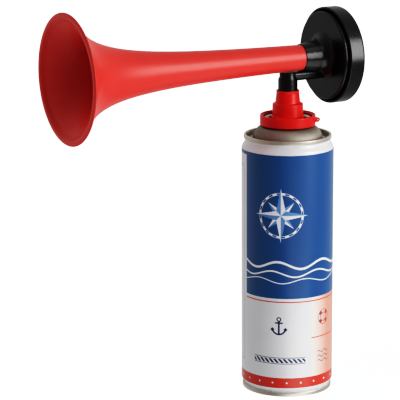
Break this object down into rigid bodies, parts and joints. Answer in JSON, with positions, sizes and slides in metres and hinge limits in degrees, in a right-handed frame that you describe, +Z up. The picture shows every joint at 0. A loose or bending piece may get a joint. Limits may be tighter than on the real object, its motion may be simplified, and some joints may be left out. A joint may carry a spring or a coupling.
{
  "type": "air horn",
  "caption": "Hand-held gas horn: steel gas can with a valve and guide collar, and a turning plastic head with a diaphragm housing and flared trumpet that is pressed down to sound.",
  "frame": {"origin": "centre of the can's resting edge, on the surface that it stands on", "axes": "+Z up the can, -X from the can's axis towards the trumpet's mouth"},
  "size_m": [0.1883, 0.0786, 0.2477],
  "materials": {
    "can_lacquer": "gloss white lacquer on steel sheet",
    "tinplate": "bare tinplate, satin",
    "cup_steel": "bare tinplate, bright",
    "printed_label": "gloss printed film in blue, white and red",
    "sealing_compound": "matte",
    "white_plastic": "natural acetal, satin",
    "spring_steel": "bright wire",
    "red_collar_plastic": "moulded, semi-gloss",
    "red_trumpet_plastic": "moulded, semi-gloss",
    "black_plastic": "moulded, satin",
    "diaphragm_film": "stiff polyester sheet"
  },
  "bodies": {
    "can": {"can_body": "can_lacquer", "can_dome": "tinplate", "can_base": "tinplate", "upper_seam_seal": "sealing_compound", "lower_seam_seal": "sealing_compound", "label_sleeve": "printed_label", "valve_cup": "cup_steel", "cup_gasket": "sealing_compound", "valve_housing": "white_plastic", "stem_gasket": "sealing_compound", "valve_spring": "spring_steel", "guide_collar": "red_collar_plastic"},
    "stem": {"valve_stem": "white_plastic"},
    "head": {"horn_body": "black_plastic", "stem_bush": "white_plastic", "trumpet": "red_trumpet_plastic", "trumpet_seal": "sealing_compound", "diaphragm": "diaphragm_film", "diaphragm_gasket": "sealing_compound", "clamp_ring": "white_plastic", "back_cap": "black_plastic"}
  },
  "joints": [
    {"name": "press", "type": "slide", "parent": "can", "child": "stem", "axis": [0, 0, 1], "range_m": [-0.0018, 0], "stiffness_N_per_m": 5000, "springref_m": 0.002, "deforming": ["valve_spring"]},
    {"name": "swivel", "type": "hinge", "parent": "stem", "child": "head", "pos_m": [0, 0, 0.18], "axis": [0, 0, 1], "continuous": true}
  ]
}
